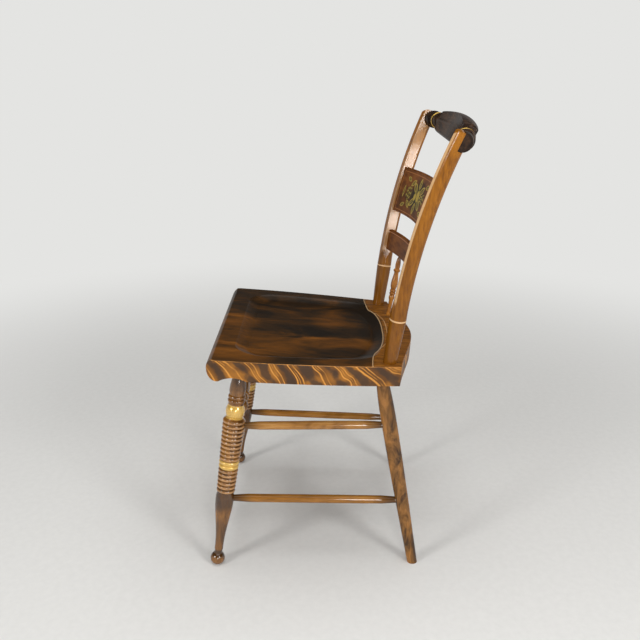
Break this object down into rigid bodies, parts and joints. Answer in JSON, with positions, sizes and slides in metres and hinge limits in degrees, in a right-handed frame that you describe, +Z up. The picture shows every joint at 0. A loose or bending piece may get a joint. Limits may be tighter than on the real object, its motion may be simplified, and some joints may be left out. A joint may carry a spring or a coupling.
{
  "type": "side chair",
  "caption": "Painted and stencilled country side chair with a hollowed plank seat, bent back posts, pillow crest rail, bent slats, short spindles and ring-turned front legs.",
  "frame": {"origin": "bottom centre of the chair's bounding box, on the floor", "axes": "+X to the sitter's left, -Y to the front, +Y to the back, +Z up"},
  "size_m": [0.481, 0.5056, 0.8649],
  "materials": {
    "seat": "glossy varnish over dark painted graining with reddish streaks",
    "post": "semi-gloss varnish over honey brown painted graining",
    "crest": "semi-gloss near-black paint with gilt rings",
    "slat": "semi-gloss reddish brown paint, gilt lines and stencilling",
    "leg": "semi-gloss varnish over brown painted graining",
    "stretcher": "semi-gloss varnish over brown painted graining",
    "spindle": "semi-gloss varnish over brown painted graining",
    "dowel": "bare wood"
  },
  "bodies": {
    "root": {"seat_plank": "seat", "left_post": "post", "right_post": "post", "crest_rail": "crest", "middle_slat": "slat", "lower_slat": "slat", "left_front_leg": "leg", "right_front_leg": "leg", "left_rear_leg": "leg", "right_rear_leg": "leg", "left_upper_side_stretcher": "stretcher", "left_lower_side_stretcher": "stretcher", "right_upper_side_stretcher": "stretcher", "right_lower_side_stretcher": "stretcher", "front_upper_stretcher": "stretcher", "front_lower_stretcher": "stretcher", "rear_stretcher": "stretcher", "right_outer_spindle": "spindle", "right_inner_spindle": "spindle", "left_inner_spindle": "spindle", "left_outer_spindle": "spindle", "crest_dowels": "dowel"}
  },
  "joints": []
}
